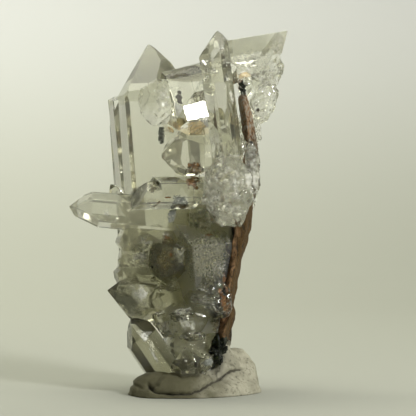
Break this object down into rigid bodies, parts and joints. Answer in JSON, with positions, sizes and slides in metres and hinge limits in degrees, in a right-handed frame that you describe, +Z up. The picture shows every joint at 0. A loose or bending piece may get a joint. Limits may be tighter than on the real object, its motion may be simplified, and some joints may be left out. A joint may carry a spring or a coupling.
{
  "type": "quartz crystal cluster with epidote",
  "caption": "Upright cluster of clear and smoky quartz crystals, with dark green epidote and rusty rock along one side, standing in a folded lump of mounting putty.",
  "frame": {"origin": "on the flat underside of the putty, under the middle of the specimen", "axes": "+Z up, along the crystals; the displayed side faces -Y, and the rusty side faces +X"},
  "size_m": [0.0508, 0.0374, 0.0837],
  "materials": {
    "quartz": "clear natural quartz, in places smoky, frosted or fractured",
    "weathered_rock": "rough, rust-brown, iron-stained rock",
    "epidote": "glossy black-green crystals",
    "putty": "matte grey-beige putty with folds and finger marks"
  },
  "bodies": {
    "root": {"quartz_cluster": "quartz", "matrix_crust": "weathered_rock", "epidote_lower": "epidote", "epidote_upper": "epidote", "putty_base": "putty"}
  },
  "joints": []
}
